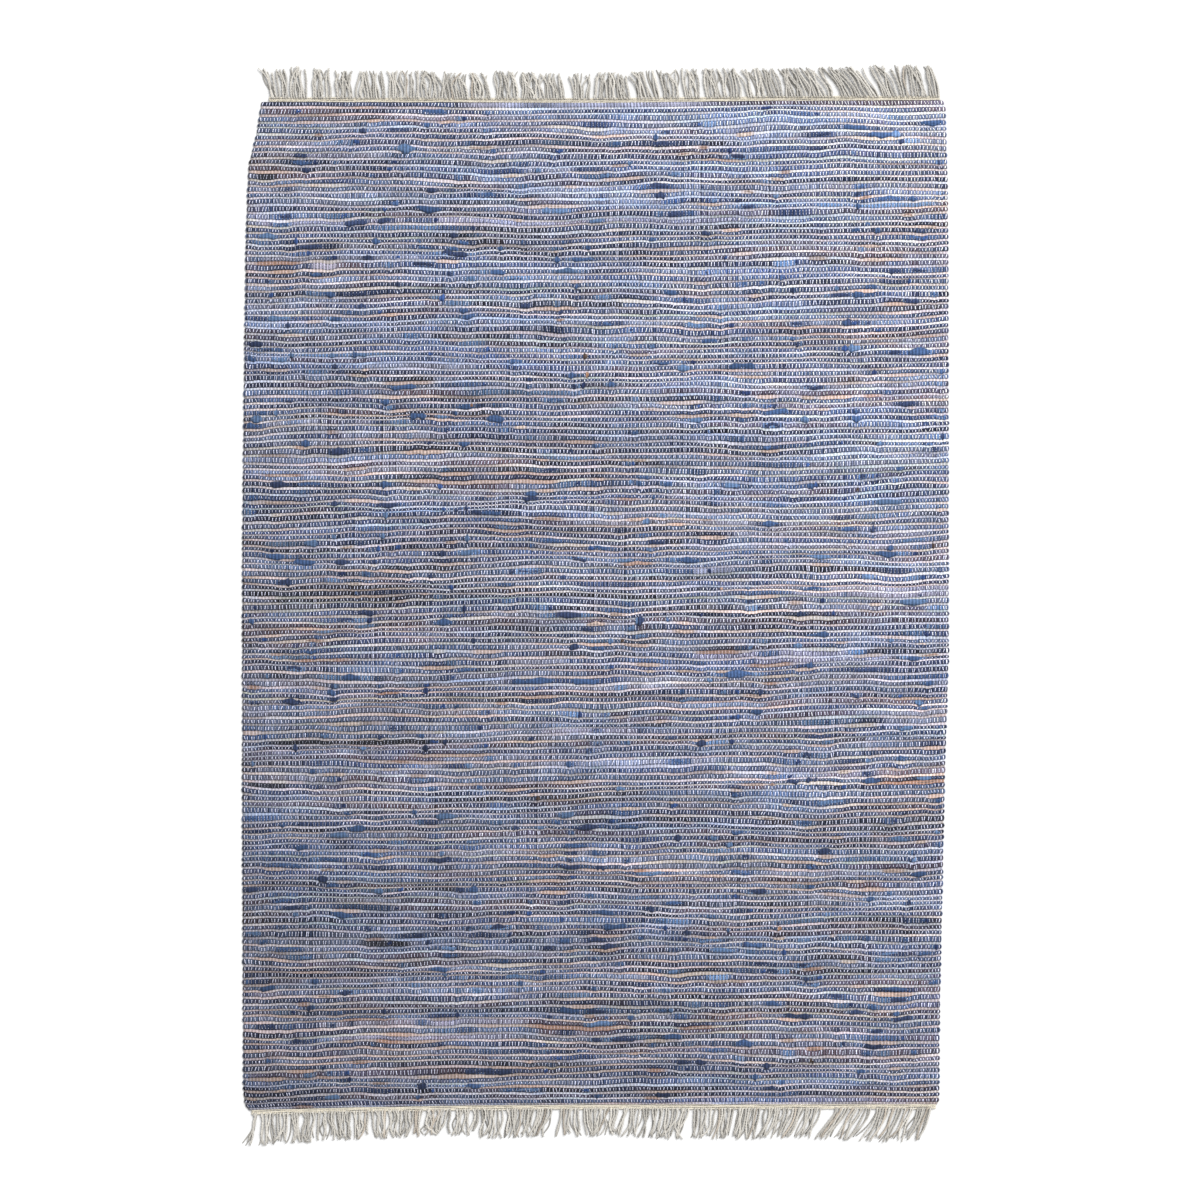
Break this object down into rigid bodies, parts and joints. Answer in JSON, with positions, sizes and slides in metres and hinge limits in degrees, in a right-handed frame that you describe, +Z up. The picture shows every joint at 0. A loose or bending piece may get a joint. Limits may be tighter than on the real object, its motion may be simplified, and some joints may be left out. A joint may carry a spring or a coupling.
{
  "type": "rag rug",
  "caption": "Flat-woven cotton rag rug, ribbed across its width in mixed blues, with a cream heading and a loose warp fringe at both ends; it lies flat on a floor.",
  "frame": {"origin": "middle of the rug's footprint, fringes included, on the floor", "axes": "+X across the rug, +Y along it towards the far fringe, +Z up"},
  "size_m": [1.41, 2.1566, 0.007],
  "materials": {
    "rag_weave": "matte woven cotton rags",
    "warp_cotton": "matte undyed cotton yarn"
  },
  "bodies": {
    "root": {"rag_cloth": "rag_weave", "fringe_far": "warp_cotton", "fringe_near": "warp_cotton"}
  },
  "joints": []
}
